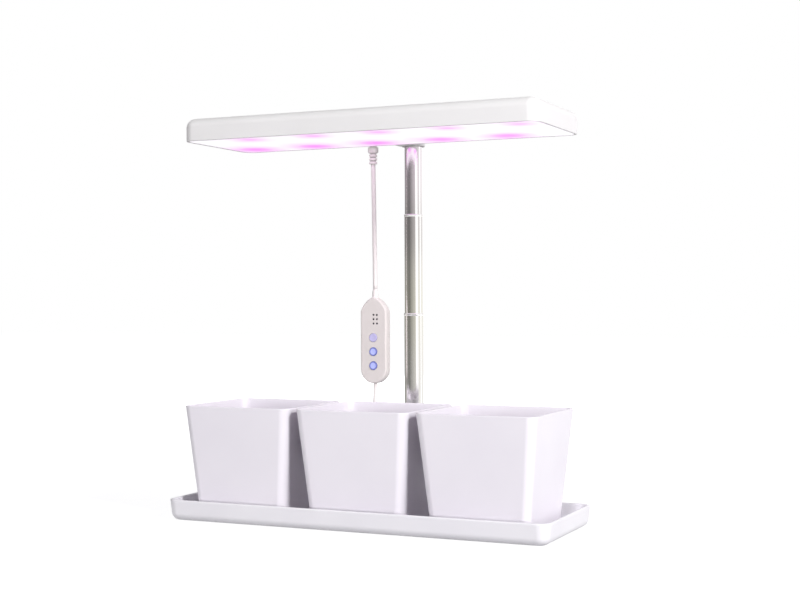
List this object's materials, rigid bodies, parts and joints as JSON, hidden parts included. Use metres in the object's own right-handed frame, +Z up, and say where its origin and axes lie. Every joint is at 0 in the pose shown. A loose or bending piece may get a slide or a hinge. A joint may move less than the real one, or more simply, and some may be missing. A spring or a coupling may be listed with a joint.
{
  "type": "countertop garden",
  "caption": "Square tapered pots on a shallow drip tray under a flat LED grow lamp, held by a round telescopic steel pole behind them, with a button controller on the lamp's cord.",
  "frame": {"origin": "middle of the drip tray's underside, on the surface that the garden stands on", "axes": "+X along the tray to the right, +Y back towards the pole, +Z up"},
  "size_m": [0.3814, 0.1932, 0.3821],
  "materials": {
    "pot_plastic": "satin",
    "tray_plastic": "satin",
    "lamp_plastic": "satin",
    "steel": "polished",
    "opal": "satin",
    "board": "satin",
    "white_led": "gloss",
    "grow_led": "gloss",
    "screw_steel": "satin",
    "black_plastic": "satin",
    "cord_rubber": "satin",
    "control_plastic": "satin",
    "circuit_board": "satin",
    "dark_lens": "gloss",
    "button_pale": "satin",
    "button_blue": "satin",
    "tie": "matte",
    "plug_plastic": "satin",
    "plug_metal": "polished"
  },
  "bodies": {
    "base": {"tray": "tray_plastic", "foot_screw": "screw_steel", "pole_plug": "black_plastic", "lower_tube": "steel", "lead_drop": "cord_rubber", "lead_run": "cord_rubber", "lead_coil": "cord_rubber", "coil_tie": "tie", "lead_tail": "cord_rubber", "plug_body": "plug_plastic", "plug_shell": "plug_metal"},
    "pole_middle": {"middle_tube": "steel", "middle_glide": "black_plastic"},
    "lamp": {"upper_tube": "steel", "upper_glide": "black_plastic", "lamp_casing": "lamp_plastic", "lamp_diffuser": "opal", "led_board": "board", "white_leds": "white_led", "grow_leds": "grow_led", "board_screws": "screw_steel", "socket_screw": "screw_steel", "strain_relief": "cord_rubber", "upper_cord": "cord_rubber", "controller_front": "control_plastic", "controller_back": "control_plastic", "controller_gland": "cord_rubber", "controller_board": "circuit_board", "indicator_lights": "dark_lens", "tact_switches": "black_plastic", "controller_screws": "screw_steel"},
    "button_upper": {"button_upper": "button_pale"},
    "button_middle": {"button_middle": "button_blue"},
    "button_lower": {"button_lower": "button_blue"},
    "pot_left": {"pot_left": "pot_plastic"},
    "pot_middle": {"pot_middle": "pot_plastic"},
    "pot_right": {"pot_right": "pot_plastic"}
  },
  "joints": [
    {"name": "pole_lower_slide", "type": "slide", "parent": "base", "child": "pole_middle", "axis": [0, 0, 1], "range_m": [-0.052, 0.055], "deforming": ["lead_drop"]},
    {"name": "pole_upper_slide", "type": "slide", "parent": "pole_middle", "child": "lamp", "axis": [0, 0, 1], "range_m": [-0.038, 0.085]},
    {"name": "pot_left_lift", "type": "slide", "parent": "base", "child": "pot_left", "axis": [0, 0, 1], "range_m": [0, 0.12]},
    {"name": "pot_middle_lift", "type": "slide", "parent": "base", "child": "pot_middle", "axis": [0, 0, 1], "range_m": [0, 0.12]},
    {"name": "pot_right_lift", "type": "slide", "parent": "base", "child": "pot_right", "axis": [0, 0, 1], "range_m": [0, 0.12]},
    {"name": "button_upper_press", "type": "slide", "parent": "lamp", "child": "button_upper", "axis": [0, 1, 0], "range_m": [0, 0.0006], "stiffness_N_per_m": 300, "springref_m": -0.002},
    {"name": "button_middle_press", "type": "slide", "parent": "lamp", "child": "button_middle", "axis": [0, 1, 0], "range_m": [0, 0.0006], "stiffness_N_per_m": 300, "springref_m": -0.002},
    {"name": "button_lower_press", "type": "slide", "parent": "lamp", "child": "button_lower", "axis": [0, 1, 0], "range_m": [0, 0.0006], "stiffness_N_per_m": 300, "springref_m": -0.002}
  ]
}
